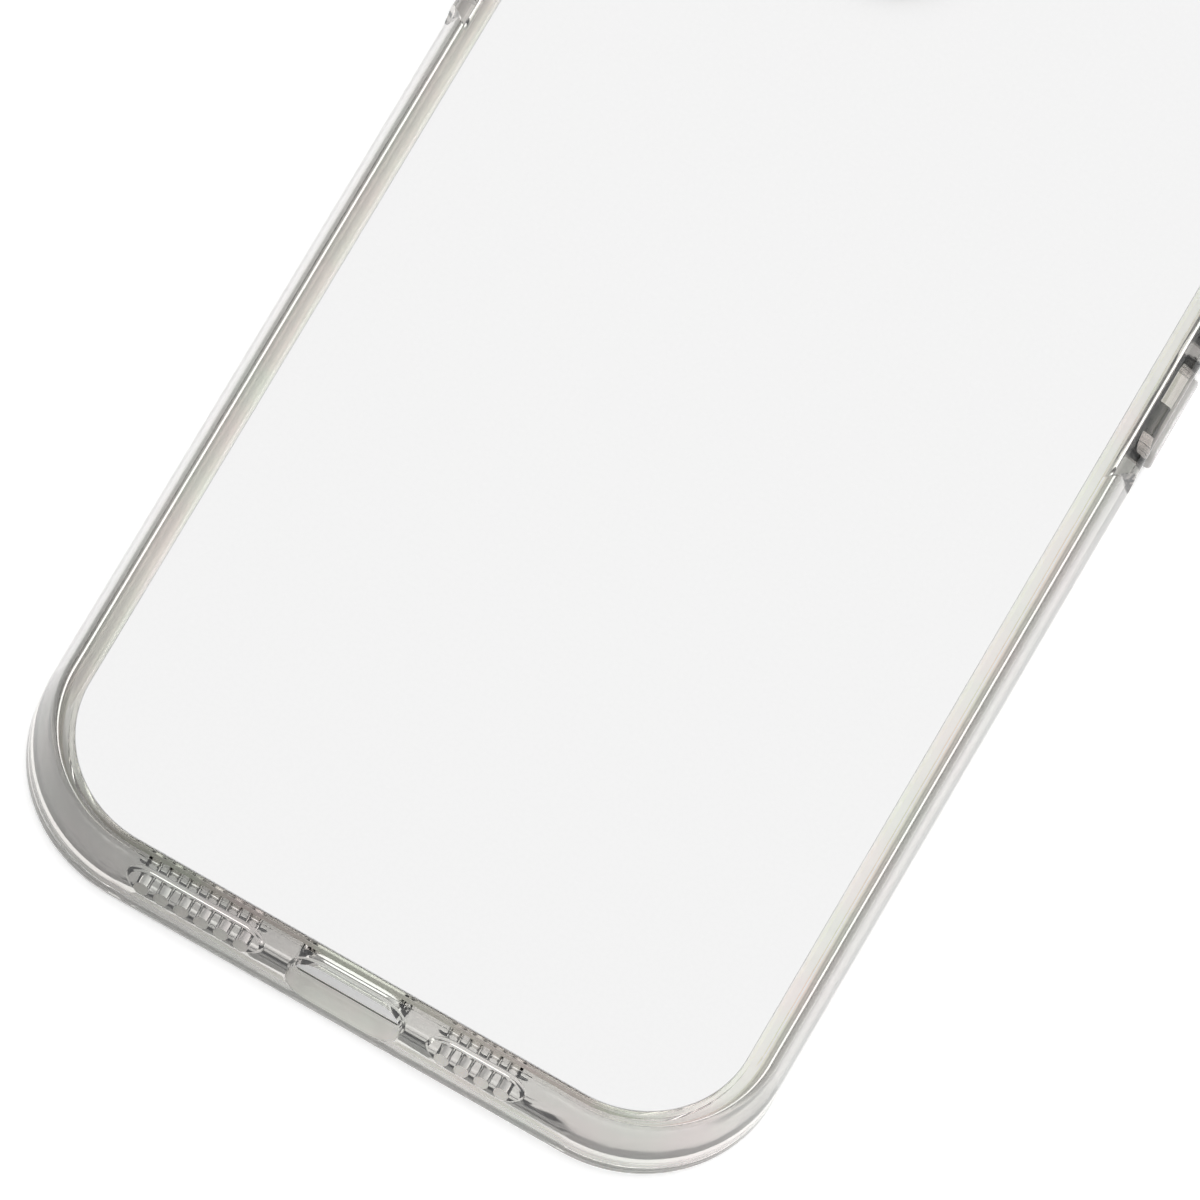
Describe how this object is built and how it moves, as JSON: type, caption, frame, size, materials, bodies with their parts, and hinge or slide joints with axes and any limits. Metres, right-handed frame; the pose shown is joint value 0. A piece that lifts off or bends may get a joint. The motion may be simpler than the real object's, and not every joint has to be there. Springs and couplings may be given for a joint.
{
  "type": "phone case",
  "caption": "Clear phone case: soft bumper frame with a hard back, blank print sheet, raised camera rim, sprung side button caps and cut-outs for plug, sound and switch.",
  "frame": {"origin": "on the plane of the lips, at the middle of the bumper frame's outline: the case lies on its lips with its back upwards", "axes": "+Z out of the back, +Y towards the camera end, +X towards the side with the volume buttons"},
  "size_m": [0.0766, 0.1508, 0.0112],
  "materials": {
    "clear_tpu": "clear soft TPU, moulded glossy",
    "clear_polycarbonate": "clear hard polycarbonate, polished",
    "print_sheet": "plain pale grey print blank, satin",
    "clear_cap": "clear caps, moulded glossy"
  },
  "bodies": {
    "case": {"bumper_frame": "clear_tpu", "back_panel": "clear_polycarbonate", "print_sheet": "print_sheet", "camera_rim": "clear_tpu"},
    "power": {"power_button": "clear_cap"},
    "volume_up": {"volume_up_button": "clear_cap"},
    "volume_down": {"volume_down_button": "clear_cap"}
  },
  "joints": [
    {"name": "power_press", "type": "slide", "parent": "case", "child": "power", "axis": [1, 0, 0], "range_m": [0, 0.0004], "stiffness_N_per_m": 500},
    {"name": "volume_up_press", "type": "slide", "parent": "case", "child": "volume_up", "axis": [-1, 0, 0], "range_m": [0, 0.0004], "stiffness_N_per_m": 500},
    {"name": "volume_down_press", "type": "slide", "parent": "case", "child": "volume_down", "axis": [-1, 0, 0], "range_m": [0, 0.0004], "stiffness_N_per_m": 500}
  ]
}
